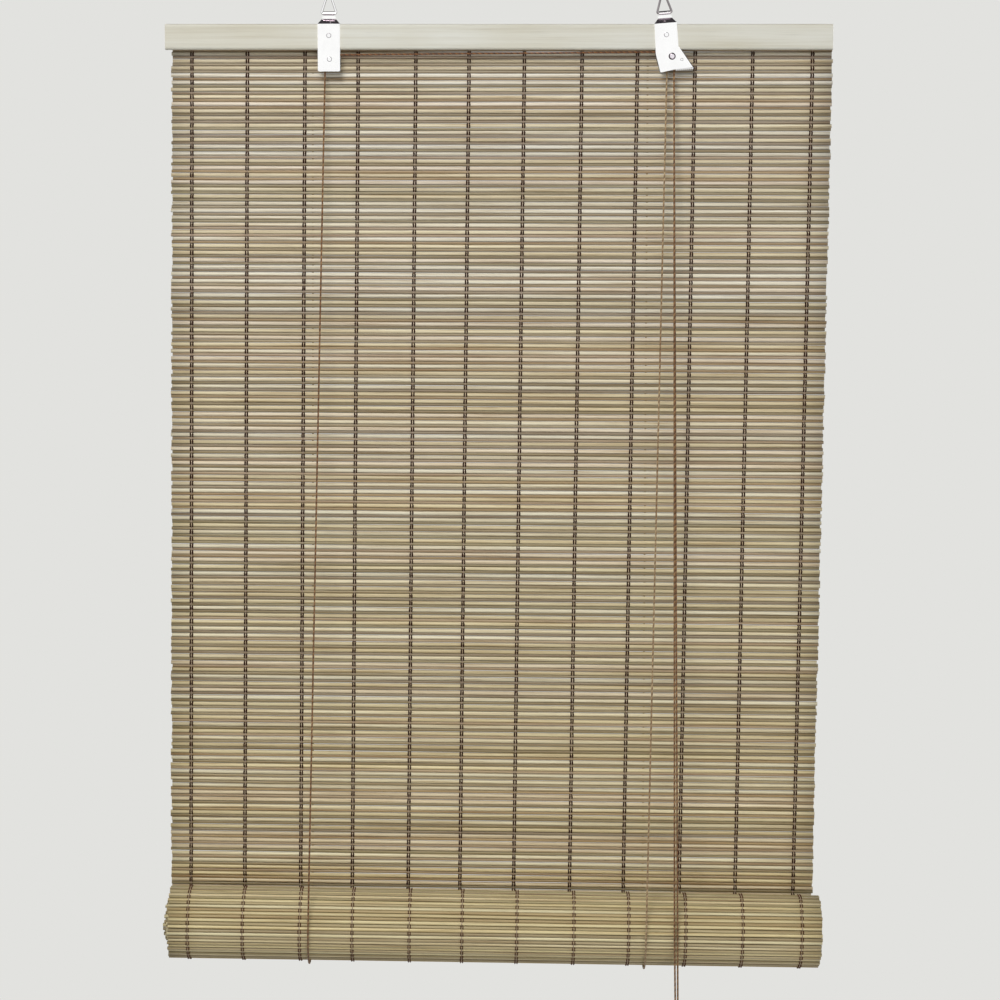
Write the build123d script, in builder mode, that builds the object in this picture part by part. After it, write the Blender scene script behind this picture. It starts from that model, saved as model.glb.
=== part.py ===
from build123d import *

import os
from math import acos, asin, atan2, cos, degrees, hypot, pi, radians, sin, sqrt, tan

# A roll up blind of wooden sticks on a headrail, hung by two wire rings, half rolled up in front.
# X runs along the headrail to the right, Y towards the wall, Z up.
# The origin is over the headrail's middle, at the height where hooks bear in the two rings.

# Headrail
rail_length = 600.0
rail_height = 23.0
rail_depth = 10.0
rail_edge_radius = 2.4
rail_top = -24.0
rail_bottom = rail_top - rail_height
rail_back = rail_depth / 2

# Mat: a thick and a thin stick make one pair
mat_width = 597.0
mat_front = rail_back + 1.3
mat_thickness = 3.5
mat_back = mat_front + mat_thickness
pair_pitch = 6.425
thick_stick = 3.4
thin_stick = 2.6
stick_flank = 0.7
valley_front = 1.5
valley_back = 2.1
thin_front = 0.75
thick_back = 2.9
pairs_hidden = 3
spare_pairs = 2
pairs_in_roll = 122
gap_count = 120
gap_height = 0.3
mat_top = rail_top - 5.3
mat_top_x = 2.9
mat_lean = 0.0125
panel_end_gap = 0.15

# Roll at the foot of the mat, its crests and the pitch of its turns
roll_radius = 35.2
turn_pitch = 3.95
roll_tilt = 0.92
roll_x = -4.0
roll_y = mat_back - roll_radius
roll_z = rail_bottom - 799.0

# Warp columns, from the left one, and the thread that shows
first_warp = -276.7
warp_steps = (50, 52, 48, 52, 48, 50, 52, 50, 52, 52, 54)
warp_width = 3.4
warp_thickness = 0.4
warp_gap = 0.1
warp_end = 9.0
roll_warp_start = 2.0
roll_warp_end = 338.0
roll_warp_steps = 40
roll_warp_shift = -7.2

# Rod inside the roll and its tacks
rod_radius = 9.2
rod_length = 590.0
tack_count = 5
tack_spacing = 140.0
tack_radius = 0.6
tack_length = 9.0
tack_head_radius = 1.6
tack_head_height = 0.4

# Brackets: a strip folded over the ring's base
sheet = 0.8
plate_width = 20.0
plate_corner = 1.2
left_bracket_x = -152.8
left_plate_drop = 42.3
lock_x = 149.5
lock_rise = 0.7
lock_tilt = 4.5
shoulder_height = 4.6
neck_width = 12.4
loop_width = 10.0
loop_foot = 6.6
loop_height = 9.3
ring_wire = 1.0
ring_running_gap = 0.06
loop_bore = ring_wire + ring_running_gap
rivet_drop = 10.4

# Lock plates, from the headrail's top edge
flare_start = 21.2
flare_reach = 21.6
flare_drop = 41.1
lock_foot_x = 4.0
lock_foot_drop = 41.9
lock_heel_x = -7.8
lock_heel_drop = 43.6
lock_waist_x = -10.8
lock_waist_drop = 26.6

# Rings
ring_base = 13.6
ring_corner_height = 21.1
ring_corner_radius = 1.2
ring_top_radius = 2.4

# Rivets, pulleys and cord
shank_radius = 1.5
shank_gap = 0.04
small_head_radius = 2.2
small_head_height = 0.5
dome_head_radius = 3.2
dome_head_height = 1.5
head_round_share = 0.95
pulley_running_gap = 0.08
pulley_width = 8.4
flange_radius = 5.2
flange_thickness = 1.0
cord_radius = 0.85
groove_radius = 3.1
cord_seat_gap = 0.05
turn_radius = groove_radius + cord_seat_gap + cord_radius
pulley_drop = 31.5
pulley_offset = 0.5
lock_pulley_drop = 29.9
lock_pulley_offset = 3.7
cord_side = 1.3

# Toothed jaw of the lock
jaw_thickness = 7.0
jaw_pin_x = 12.2
jaw_pin_drop = 33.5
jaw_pin_radius = 1.25
jaw_pin_chamfer = 0.2
jaw_eye_radius = 3.0
jaw_foot_left = 6.3
jaw_foot_drop = 41.8
jaw_top_drop = 26.0
jaw_showing = 0.7
tooth_count = 9
tooth_depth = 1.4

# Cord runs and their ends
joint_gap = 0.15
cord_clearance = 0.3
anchor_z = -31.0
left_anchor_x = -168.0
right_anchor_x = 134.5
left_roll_cord_x = -173.7
right_roll_cord_x = 133.7
knot_radius = 1.5
pull_exit_x = 157.6
pull_exit_z = -65.6
pull_roll_x = (159.5, 162.3)
pull_end_x = (160.9, 163.1)

# Tassel and the knot inside
tassel_x = 162.0
tassel_top = -926.0
tassel_height = 34.0
tassel_top_radius = 4.6
tassel_waist_radius = 6.6
tassel_waist_drop = 13.6
tassel_foot_radius = 8.0
tassel_rim_radius = 7.25
tassel_lip = 3.0
tassel_hole_radius = 2.6
tassel_hole_depth = 12.0
tassel_hollow_radius = 4.4
end_knot_radius = 3.5
end_knot_height = 6.0
end_knot_edge = 1.0
end_knot_gap = 0.1

# Staples
staple_wire = 0.45
staple_crown = 10.0
staple_reach = 4.0
staple_drop = 10.0
staple_places = (-270, -190, -100, 0, 100, 190, 270)
cord_staple_crown = 5.0
cord_staple_drop = 12.0

pieces = {}


def keep(name, piece):
    """Labels a finished piece and holds it for export."""
    piece.part.label = name
    pieces[name] = piece


def side_plane(x, z, tilt):
    """Side view through a bracket: Y to the right, up along the bracket."""
    turn = radians(tilt)
    return Plane(origin=(x, 0, z), x_dir=(0, 1, 0), z_dir=(cos(turn), 0, sin(turn)))


def face_plane(x, z, tilt, depth=0.0):
    """Front view of a bracket: X to the right, up along the bracket, facing the room."""
    turn = radians(tilt)
    return Plane(origin=(x, depth, z), x_dir=(cos(turn), 0, sin(turn)), z_dir=(0, -1, 0))


left_seat = (left_bracket_x, rail_top, 0.0)
lock_seat = (lock_x, rail_top + lock_rise, lock_tilt)


def on_bracket(seat, across, drop, depth=0.0):
    """The place in the model of a point given on a bracket's front view."""
    x, z, tilt = seat
    return face_plane(x, z, tilt, depth).from_local_coords(Vector(across, -drop, 0))


# Headrail with a hole for each bracket's rivet


def make_headrail():
    with BuildPart() as headrail:
        with Locations((0, 0, (rail_top + rail_bottom) / 2)):
            Box(rail_length, rail_depth, rail_height)
        fillet(headrail.edges().filter_by(Axis.X), radius=rail_edge_radius)
        for seat in (left_seat, lock_seat):
            place = on_bracket(seat, 0, rivet_drop)
            with BuildSketch(Plane.XZ.offset(-rail_depth)):
                with Locations((place.X, place.Z)):
                    Circle(shank_radius + shank_gap)
            extrude(amount=2 * rail_depth, mode=Mode.SUBTRACT)
    keep("headrail", headrail)


# Hanging rings, bent from wire, their base in the bracket's fold


def make_ring(name, seat):
    plane = face_plane(*seat)
    base = loop_height
    half = ring_base / 2
    corners = [(-half, base), (half, base), (0, base + ring_corner_height)]
    with BuildPart() as ring:
        with BuildLine(plane) as bend:
            radii = [ring_corner_radius, ring_corner_radius, ring_top_radius]
            FilletPolyline(*corners, radius=radii, close=True)
        with BuildSketch(Plane(origin=bend.line @ 0, z_dir=bend.line % 0)):
            Circle(ring_wire)
        sweep()
    keep(name, ring)


# Brackets


def left_plate_outline():
    half = plate_width / 2
    return [(half, 0), (half, -left_plate_drop), (-half, -left_plate_drop), (-half, 0)]


def lock_plate_outline():
    half = plate_width / 2
    return [
        (half, 0),
        (half, -flare_start),
        (flare_reach, -flare_drop),
        (lock_foot_x, -lock_foot_drop),
        (lock_heel_x, -lock_heel_drop),
        (lock_waist_x, -lock_waist_drop),
        (-half, 0),
    ]


def make_bracket(name, seat, plate_outline, holes):
    half_neck = neck_width / 2
    half_loop = loop_width / 2
    outer = rail_depth / 2 + sheet
    inner = rail_depth / 2
    drop = left_plate_drop + plate_width
    neck_foot = shoulder_height
    shoulder = [
        (-outer, -sheet),
        (-outer, 0),
        (-sheet, neck_foot),
        (-sheet, loop_height - ring_wire),
        (0, loop_height - ring_wire),
        (0, neck_foot - sheet),
        (-inner, -sheet),
    ]
    with BuildPart() as bracket:
        with BuildSketch(side_plane(*seat)):
            with BuildLine():
                Polyline(*shoulder, close=True)
            make_face()
            mirror(about=Plane.YZ)
            for side in (-1, 1):
                with Locations((side * (inner + sheet / 2), -drop / 2)):
                    Rectangle(sheet, drop)
            with Locations((0, loop_height)):
                Circle(loop_bore + sheet)
                Circle(loop_bore, mode=Mode.SUBTRACT)
        extrude(amount=2 * plate_width, both=True)
        with BuildSketch(face_plane(*seat, depth=plate_width)):
            with BuildLine():
                Polyline(*plate_outline, close=True)
            make_face()
            with BuildLine():
                Polyline(
                    (-plate_width / 2, 0),
                    (plate_width / 2, 0),
                    (half_neck, shoulder_height),
                    (half_neck, loop_foot),
                    (half_loop, loop_foot),
                    (half_loop, loop_height + loop_width),
                    (-half_loop, loop_height + loop_width),
                    (-half_loop, loop_foot),
                    (-half_neck, loop_foot),
                    (-half_neck, shoulder_height),
                    close=True,
                )
            make_face()
        extrude(amount=2 * plate_width, mode=Mode.INTERSECT)
        for across, hole_drop, radius in holes:
            with BuildSketch(face_plane(*seat, depth=plate_width)):
                with Locations((across, -hole_drop)):
                    Circle(radius)
            extrude(amount=2 * plate_width, mode=Mode.SUBTRACT)
        low = bracket.edges().filter_by(Axis.Y).group_by(Axis.Z)[0]
        fillet(low, radius=plate_corner)
    keep(name, bracket)


# Rivets through both plates


def make_rivet(name, places, head_radius, head_height):
    """One shank with a rounded head in front and a small head behind at each place."""
    outer = rail_depth / 2 + sheet
    with BuildPart() as rivet:
        for place in places:
            plane = Plane(origin=(place.X, 0, place.Z), x_dir=(1, 0, 0), z_dir=(0, -1, 0))
            with BuildSketch(plane.offset(-outer)):
                Circle(shank_radius)
            extrude(amount=2 * outer)
            with BuildSketch(plane.offset(outer)):
                Circle(head_radius)
            extrude(amount=head_height)
            rim = rivet.edges().filter_by(GeomType.CIRCLE).sort_by(Axis.Y)[0]
            fillet(rim, radius=head_round_share * head_height)
            with BuildSketch(plane.offset(-outer)):
                Circle(small_head_radius)
            extrude(amount=-small_head_height)
    keep(name, rivet)


def make_headrail_rivets():
    places = [on_bracket(seat, 0, rivet_drop) for seat in (left_seat, lock_seat)]
    make_rivet("bracket_rivets", places, small_head_radius, small_head_height)


# Pulleys, both with a groove wide enough for two cords


def make_pulley(name, centre):
    half = pulley_width / 2
    rim = half - flange_thickness
    floor = cord_side + cord_radius
    profile = [
        (shank_radius + pulley_running_gap, -half),
        (flange_radius, -half),
        (flange_radius, -rim),
        (groove_radius, -floor),
        (groove_radius, floor),
        (flange_radius, rim),
        (flange_radius, half),
        (shank_radius + pulley_running_gap, half),
    ]
    plane = Plane(origin=(centre.X, 0, centre.Z), x_dir=(1, 0, 0), z_dir=(0, 0, 1))
    with BuildPart() as pulley:
        with BuildSketch(plane):
            with BuildLine():
                Polyline(*profile, close=True)
            make_face()
        revolve(axis=Axis((centre.X, 0, centre.Z), (0, 1, 0)))
    keep(name, pulley)


# Toothed jaw that bites the pull strands, and its flush pin


def jaw_outline():
    """From the pin's left side down, along the teeth and up the plates' flared edge, a little beyond it."""
    half_plate = plate_width / 2
    flare_slope = (flare_reach - half_plate) / (flare_drop - flare_start)
    beyond = jaw_showing * hypot(1, flare_slope)
    foot_right = flare_reach + beyond
    top_right = half_plate + flare_slope * (jaw_top_drop - flare_start) + beyond
    points = [(jaw_pin_x - jaw_eye_radius, -jaw_pin_drop)]
    step = (foot_right - jaw_foot_left) / tooth_count
    for tooth in range(tooth_count):
        left = jaw_foot_left + tooth * step
        points.append((left, -jaw_foot_drop))
        points.append((left + step / 2, -jaw_foot_drop - tooth_depth))
    points.append((foot_right, -flare_drop))
    points.append((top_right, -jaw_top_drop))
    return points


def make_jaw():
    with BuildPart() as jaw:
        with BuildSketch(face_plane(*lock_seat, depth=jaw_thickness / 2)):
            with BuildLine():
                Polyline(*jaw_outline(), close=True)
            make_face()
            with Locations((jaw_pin_x, -jaw_pin_drop)):
                Circle(jaw_eye_radius)
                Circle(jaw_pin_radius + pulley_running_gap, mode=Mode.SUBTRACT)
        extrude(amount=jaw_thickness)
    keep("lock_jaw", jaw)


def make_jaw_pin():
    outer = rail_depth / 2 + sheet
    with BuildPart() as pin:
        with BuildSketch(face_plane(*lock_seat, depth=outer)):
            with Locations((jaw_pin_x, -jaw_pin_drop)):
                Circle(jaw_pin_radius)
        extrude(amount=2 * outer)
        chamfer(pin.edges().filter_by(GeomType.CIRCLE), length=jaw_pin_chamfer)
    keep("jaw_pin", pin)


# Mat: the same section of stick pairs is laid flat in the panel and wound up in the roll


def front_of_pair(start):
    """Room side of one thick and one thin stick, as (distance along, depth from the front)."""
    middle = start + thick_stick
    end = middle + thin_stick
    return [
        (start, valley_front),
        (start + stick_flank, 0),
        (middle - stick_flank, 0),
        (middle, valley_front),
        (middle + stick_flank, thin_front),
        (end - stick_flank, thin_front),
        (end, valley_front),
    ]


def back_of_pair(start):
    """Wall side of the same pair."""
    middle = start + thick_stick
    end = middle + thin_stick
    return [
        (start, valley_back),
        (start + stick_flank, thick_back),
        (middle - stick_flank, thick_back),
        (middle, valley_back),
        (middle + stick_flank, mat_thickness),
        (end - stick_flank, mat_thickness),
        (end, valley_back),
    ]


def mat_section(pairs, place):
    """Closed outline of so many pairs, each point put in the side view by place(along, depth)."""
    starts = [pair * pair_pitch for pair in range(pairs)]
    front = [point for start in starts for point in front_of_pair(start)]
    back = [point for start in starts for point in back_of_pair(start)]
    return [place(*point) for point in front + back[::-1]]


def mat_x(z):
    """Middle of the leaning mat at a height."""
    return mat_top_x - mat_lean * (rail_bottom - z)


def lay_flat(along, depth):
    return (mat_front + depth, mat_top - along)


def turn_at(along):
    """Angle wound so far at a distance along the mat's middle."""
    middle = roll_radius - mat_thickness / 2
    return (middle - sqrt(middle**2 - turn_pitch * along / pi)) * 2 * pi / turn_pitch


def wind_up(along, depth):
    turned = turn_at(along)
    radius = roll_radius - turn_pitch * turned / (2 * pi) - (mat_thickness - depth)
    return (radius * cos(turned), -radius * sin(turned))


roll_turn = radians(roll_tilt)
roll_frame = Plane(
    origin=(roll_x, roll_y, roll_z), x_dir=(0, 1, 0), z_dir=(cos(roll_turn), 0, -sin(roll_turn))
)


def roll_plane(offset):
    """Side view across the roll at a distance along its axis from its middle."""
    return roll_frame.offset(offset)


panel_pairs = int((mat_top - roll_z) / pair_pitch) + spare_pairs


def make_panel():
    lean_angle = degrees(atan2(mat_lean, 1))
    foot = roll_z + panel_end_gap
    with BuildPart() as panel:
        with BuildSketch(Plane.YZ):
            with BuildLine():
                Polyline(*mat_section(panel_pairs, lay_flat), close=True)
            make_face()
        extrude(amount=mat_width, both=True)
        for side in (-1, 1):
            edge = (mat_x(rail_bottom) + side * mat_width / 2, 0, rail_bottom)
            normal = (-side, 0, side * tan(radians(lean_angle)))
            split(bisect_by=Plane(origin=edge, z_dir=normal), keep=Keep.TOP)
        foot_normal = (sin(radians(roll_tilt)), 0, cos(radians(roll_tilt)))
        split(bisect_by=Plane(origin=(roll_x, 0, foot), z_dir=foot_normal), keep=Keep.TOP)
        gap_length = sum(warp_steps)
        first_gap = mat_top - pairs_hidden * pair_pitch - (thick_stick + thin_stick + pair_pitch) / 2
        heights = [first_gap - gap * pair_pitch for gap in range(gap_count)]
        with Locations(*[(mat_x(z), mat_front + mat_thickness / 2, z) for z in heights]):
            Box(gap_length, 2 * mat_thickness, gap_height, mode=Mode.SUBTRACT)
    keep("mat_panel", panel)


def make_roll():
    with BuildPart() as roll:
        with BuildSketch(roll_plane(0)):
            with BuildLine():
                Polyline(*mat_section(pairs_in_roll, wind_up), close=True)
            make_face()
        extrude(amount=mat_width / 2, both=True)
    keep("mat_roll", roll)


# Warp threads, one strip of paired thread for each column


def warp_places():
    return [first_warp + sum(warp_steps[:column]) for column in range(len(warp_steps) + 1)]


def make_panel_warp(number, x):
    foot = roll_z + warp_end
    foot_x = x - mat_lean * (mat_top - foot)
    half = warp_width / 2
    corners = [(x - half, mat_top), (x + half, mat_top), (foot_x + half, foot), (foot_x - half, foot)]
    with BuildPart() as warp:
        with BuildSketch(Plane.XZ.offset(-mat_front)):
            with BuildLine():
                Polyline(*corners, close=True)
            make_face()
        extrude(amount=warp_thickness)
    keep(f"panel_warp_{number:02d}", warp)


def warp_point(turned, height):
    """A point so high above the roll's crests, after so much of the outer turn."""
    radius = roll_radius - turn_pitch * turned / (2 * pi) + height
    return (radius * cos(turned), -radius * sin(turned))


def make_roll_warp(number, x):
    """Outer turn only, from below the panel round the front to where the roll meets it again."""
    turn_step = radians(roll_warp_end - roll_warp_start) / roll_warp_steps
    turns = [radians(roll_warp_start) + turn_step * step for step in range(roll_warp_steps + 1)]
    inner = [warp_point(turned, warp_gap) for turned in turns]
    outer = [warp_point(turned, warp_gap + warp_thickness) for turned in turns]
    with BuildPart() as warp:
        with BuildSketch(roll_plane(x + roll_warp_shift - roll_x - warp_width / 2)):
            with BuildLine():
                Polyline(*(inner + outer[::-1]), close=True)
            make_face()
        extrude(amount=warp_width)
    keep(f"roll_warp_{number:02d}", warp)


# Rod that the mat is wound on, and the tacks that hold the mat's end to it


def make_rod():
    with BuildPart() as rod:
        with BuildSketch(roll_plane(-rod_length / 2)):
            Circle(rod_radius)
        extrude(amount=rod_length)
        chamfer(rod.edges().filter_by(GeomType.CIRCLE), length=plate_corner)
    keep("bottom_rod", rod)


def make_tacks():
    turned = turn_at((pairs_in_roll - 1) * pair_pitch + thick_stick / 2)
    outside = roll_radius - turn_pitch * turned / (2 * pi) - mat_thickness + thick_back
    way = Vector(0, cos(turned), -sin(turned))
    first = -tack_spacing * (tack_count - 1) / 2
    with BuildPart() as tacks:
        for tack in range(tack_count):
            plane = roll_plane(first + tack * tack_spacing)
            start = plane.from_local_coords(Vector(outside * cos(turned), -outside * sin(turned), 0))
            inward = Plane(origin=start, z_dir=way * -1)
            with BuildSketch(inward):
                Circle(tack_radius)
            extrude(amount=tack_length)
            with BuildSketch(inward):
                Circle(tack_head_radius)
            extrude(amount=tack_head_height)
    keep("rod_tacks", tacks)


# Staples: a crown across and two legs into the headrail


def make_staples(name, places, crown, crown_face, drop):
    with BuildPart() as staples:
        for x in places:
            z = rail_top - drop
            legs_end = rail_back - staple_reach
            with Locations((x, crown_face + staple_wire, z)):
                Box(crown, 2 * staple_wire, 2 * staple_wire)
            leg = crown_face - legs_end
            for side in (-1, 1):
                leg_x = x + side * (crown / 2 - staple_wire)
                with Locations((leg_x, legs_end + leg / 2, z)):
                    Box(2 * staple_wire, leg, 2 * staple_wire)
    keep(name, staples)


# Cords


def make_cord(name, route, radii=None, knot=None):
    with BuildPart() as cord:
        with BuildLine() as path:
            if radii:
                FilletPolyline(*route, radius=radii)
            else:
                Line(*route)
        with BuildSketch(Plane(origin=path.line @ 0, z_dir=path.line % 0)):
            Circle(cord_radius)
        sweep()
        if knot:
            with Locations(knot):
                Sphere(knot_radius)
    print(name, "length", round(path.wire().length, 1), "radii", radii)
    keep(name, cord)


sling_radius = roll_radius + warp_gap + warp_thickness + cord_clearance + cord_radius
left_pulley_centre = on_bracket(left_seat, pulley_offset, pulley_drop)
lock_pulley_centre = on_bracket(lock_seat, lock_pulley_offset, lock_pulley_drop)


def sling_front(top):
    """Angle on the roll, from the wall side over the top, where a front run from its top lies on."""
    across = top.Y - roll_y
    up = top.Z - roll_z
    return degrees(atan2(up, across) + acos(sling_radius / hypot(across, up)))


def sling_plane(x):
    return roll_plane((x - roll_x) / cos(roll_turn))


def sling_point(x, angle):
    turn = radians(angle)
    return sling_plane(x).from_local_coords(Vector(sling_radius * cos(turn), sling_radius * sin(turn), 0))


def make_sling(name, x, front):
    gap = degrees(joint_gap / sling_radius)
    with BuildPart() as sling:
        with BuildLine(sling_plane(x)) as path:
            CenterArc((0, 0), sling_radius, -gap, front - 360 + 2 * gap)
        with BuildSketch(Plane(origin=path.line @ 0, z_dir=path.line % 0)):
            Circle(cord_radius)
        sweep()
    keep(name, sling)


def short_of(start, end, gap):
    """The point a gap before the end of a straight run."""
    way = end - start
    return end - way * (gap / way.length)


def make_lift_cord(side, pulley, depth, roll_cord_x, anchor_x):
    top = Vector(pulley.X - turn_radius, depth, pulley.Z)
    front = sling_front(top)
    foot = sling_point(roll_cord_x, front)
    make_cord(f"{side}_front_run", [short_of(foot, top, joint_gap), short_of(top, foot, joint_gap)])
    make_sling(f"{side}_sling", roll_cord_x, front)
    rear = sling_point(roll_cord_x, 0)
    anchor = Vector(anchor_x, rear.Y, anchor_z)
    make_cord(f"{side}_back_run", [anchor, short_of(anchor, rear, joint_gap)], knot=tuple(anchor))


def on_pulley(centre, angle):
    """Where a cord's middle lies on a pulley in front view, at an angle from the right."""
    turn = radians(angle)
    return (centre.X + turn_radius * cos(turn), centre.Z + turn_radius * sin(turn))


def leaving_angle(centre):
    """Angle on the lock pulley where a cord leaves it for the foot of the plates."""
    across = centre.X - pull_exit_x
    up = centre.Z - pull_exit_z
    return degrees(atan2(up, across) - asin(turn_radius / hypot(across, up))) - 90


def make_pulley_cord(name, depth, pulleys):
    """Over each pulley, from the left side of the first one, and down to the foot of the plates."""
    first, last = pulleys[0], pulleys[-1]
    slope = degrees(atan2(last.Z - first.Z, last.X - first.X))
    leaving = leaving_angle(last)
    with BuildPart() as cord:
        with BuildLine(Plane.XZ.offset(-depth)) as path:
            if len(pulleys) > 1:
                CenterArc((first.X, first.Z), turn_radius, 180, slope - 90)
                Line(on_pulley(first, slope + 90), on_pulley(last, slope + 90))
                CenterArc((last.X, last.Z), turn_radius, slope + 90, leaving - slope - 90)
            else:
                CenterArc((last.X, last.Z), turn_radius, 180, leaving - 180)
            Line(on_pulley(last, leaving), (pull_exit_x, pull_exit_z))
        with BuildSketch(Plane(origin=path.line @ 0, z_dir=path.line % 0)):
            Circle(cord_radius)
        sweep()
    print(name, "length", round(path.wire().length, 1), "radius on the pulleys", turn_radius)
    keep(name, cord)


def make_pull_strands():
    names = ("left_cord", "right_cord")
    knot_top = tassel_top - tassel_hole_depth - end_knot_gap
    front_y = roll_y - sling_radius
    for name, side, roll_cord_x, end_x in zip(names, (-1, 1), pull_roll_x, pull_end_x):
        start = Vector(pull_exit_x, side * cord_side, pull_exit_z - joint_gap)
        bend = Vector(roll_cord_x, front_y, roll_z)
        make_cord(f"{name}_pull_strand", [start, short_of(start, bend, joint_gap)])
        route = [(roll_cord_x, front_y, roll_z), (end_x, front_y, tassel_top), (end_x, front_y, knot_top)]
        make_cord(f"{name}_tassel_strand", route, radii=[tassel_hole_depth])


# Tassel, turned, hollow from below, with the knot against its shoulder


def make_tassel():
    foot = tassel_top - tassel_height
    waist = tassel_top - tassel_waist_drop
    shoulder = tassel_top - tassel_hole_depth
    plane = Plane(origin=(tassel_x, roll_y - sling_radius, 0), x_dir=(1, 0, 0), z_dir=(0, -1, 0))
    axis = Axis((tassel_x, roll_y - sling_radius, 0), (0, 0, 1))
    with BuildPart() as tassel:
        with BuildSketch(plane):
            with BuildLine():
                Line((tassel_hole_radius, tassel_top), (tassel_top_radius, tassel_top))
                side = ThreePointArc(
                    (tassel_top_radius, tassel_top),
                    (tassel_waist_radius, waist),
                    (tassel_foot_radius, foot + tassel_lip),
                )
                TangentArc(side @ 1, (tassel_rim_radius, foot), tangent=side % 1)
                Polyline(
                    (tassel_rim_radius, foot),
                    (tassel_hollow_radius, foot),
                    (tassel_hollow_radius, shoulder),
                    (tassel_hole_radius, shoulder),
                    (tassel_hole_radius, tassel_top),
                )
            make_face()
        revolve(axis=axis)
    keep("tassel", tassel)


def make_end_knot():
    top = tassel_top - tassel_hole_depth - end_knot_gap
    with BuildPart() as knot:
        with BuildSketch(Plane(origin=(tassel_x, roll_y - sling_radius, top - end_knot_height))):
            Circle(end_knot_radius)
        extrude(amount=end_knot_height)
        fillet(knot.edges().filter_by(GeomType.CIRCLE), radius=end_knot_edge)
    keep("end_knot", knot)


def make_all():
    make_headrail()
    make_ring("left_hanging_ring", left_seat)
    make_ring("right_hanging_ring", lock_seat)
    hole = shank_radius + shank_gap
    left_holes = [(0, rivet_drop, hole), (pulley_offset, pulley_drop, hole)]
    make_bracket("left_bracket", left_seat, left_plate_outline(), left_holes)
    lock_holes = [
        (0, rivet_drop, hole),
        (lock_pulley_offset, lock_pulley_drop, hole),
        (jaw_pin_x, jaw_pin_drop, jaw_pin_radius + shank_gap),
    ]
    make_bracket("lock_bracket", lock_seat, lock_plate_outline(), lock_holes)
    make_headrail_rivets()
    make_rivet("left_pulley_axle", [left_pulley_centre], small_head_radius, small_head_height)
    make_rivet("lock_pulley_rivet", [lock_pulley_centre], dome_head_radius, dome_head_height)
    make_pulley("left_pulley", left_pulley_centre)
    make_pulley("lock_pulley", lock_pulley_centre)
    make_jaw()
    make_jaw_pin()
    make_panel()
    make_roll()
    for number, x in enumerate(warp_places(), start=1):
        make_panel_warp(number, x)
        make_roll_warp(number, x)
    make_rod()
    make_tacks()
    make_staples("mat_staples", staple_places, staple_crown, mat_back, staple_drop)
    cord_face = roll_y + sling_radius + cord_radius
    cord_places = (left_anchor_x, right_anchor_x)
    make_staples("cord_staples", cord_places, cord_staple_crown, cord_face, cord_staple_drop)
    make_lift_cord("left", left_pulley_centre, -cord_side, left_roll_cord_x, left_anchor_x)
    make_lift_cord("right", lock_pulley_centre, cord_side, right_roll_cord_x, right_anchor_x)
    make_pulley_cord("cross_cord", -cord_side, [left_pulley_centre, lock_pulley_centre])
    make_pulley_cord("lock_cord", cord_side, [lock_pulley_centre])
    make_pull_strands()
    make_tassel()
    make_end_knot()


make_all()
os.makedirs("parts", exist_ok=True)
for name, piece in pieces.items():
    export_step(piece.part, f"parts/{name}.step")
print("left pulley", left_pulley_centre, "lock pulley", lock_pulley_centre)
print("jaw pin", on_bracket(lock_seat, jaw_pin_x, jaw_pin_drop))
print("roll axis", roll_frame.z_dir, roll_frame.origin)
print("ring bases", on_bracket(left_seat, 0, -loop_height), on_bracket(lock_seat, 0, -loop_height))
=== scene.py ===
import random
from math import acos, asin, atan2, cos, degrees, hypot, pi, radians, sin, sqrt, tan

import bpy
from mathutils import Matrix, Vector


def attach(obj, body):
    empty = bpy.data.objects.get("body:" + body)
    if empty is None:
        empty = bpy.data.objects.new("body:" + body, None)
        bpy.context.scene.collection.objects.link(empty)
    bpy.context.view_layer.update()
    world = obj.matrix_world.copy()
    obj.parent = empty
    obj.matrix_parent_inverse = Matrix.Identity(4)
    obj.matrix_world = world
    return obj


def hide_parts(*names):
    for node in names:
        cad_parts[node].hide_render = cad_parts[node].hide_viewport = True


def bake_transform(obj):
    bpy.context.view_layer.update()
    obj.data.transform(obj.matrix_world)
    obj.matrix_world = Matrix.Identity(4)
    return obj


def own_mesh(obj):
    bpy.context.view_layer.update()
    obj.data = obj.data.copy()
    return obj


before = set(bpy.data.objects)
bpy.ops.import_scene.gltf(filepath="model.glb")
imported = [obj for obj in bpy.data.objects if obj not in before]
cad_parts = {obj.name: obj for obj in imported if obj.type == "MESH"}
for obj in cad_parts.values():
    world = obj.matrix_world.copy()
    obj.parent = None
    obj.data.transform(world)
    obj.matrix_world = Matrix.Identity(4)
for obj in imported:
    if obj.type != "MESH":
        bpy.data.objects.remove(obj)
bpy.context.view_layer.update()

# Sizes are in millimetres here, as in the part's source, and turned into metres when a mesh is made.
# X runs along the headrail to the right, Y towards the wall, Z up.
mm = 0.001

# Camera, placed so that the outlines fall on those in the photograph
camera_place = (0.9, -2728.0, -150.0)
camera_pitch = 6.37
camera_lens = 108.0
sensor_width = 36.0

# Headrail and mat
rail_top = -24.0
rail_bottom = -47.0
mat_width = 597.0
mat_front = 6.3
mat_thickness = 3.5
mat_back = mat_front + mat_thickness
mat_top = rail_top - 5.3
mat_top_x = 2.9
mat_lean = 0.0125
pair_pitch = 6.425
thick_middle = 1.72
thick_stick = 3.62
thin_middle = 4.82
thin_stick = 2.92
thick_depth = (0.0, 2.9)
thin_depth = (0.75, 3.5)
panel_pairs = 127
roll_pairs = 122

# Roll
roll_radius = 35.2
turn_pitch = 3.95
roll_tilt = radians(0.92)
roll_x = -4.0
roll_y = mat_back - roll_radius
roll_z = rail_bottom - 799.0
telescope = 7.5
telescope_start = 2.6
telescope_turns = 3.9

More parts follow.
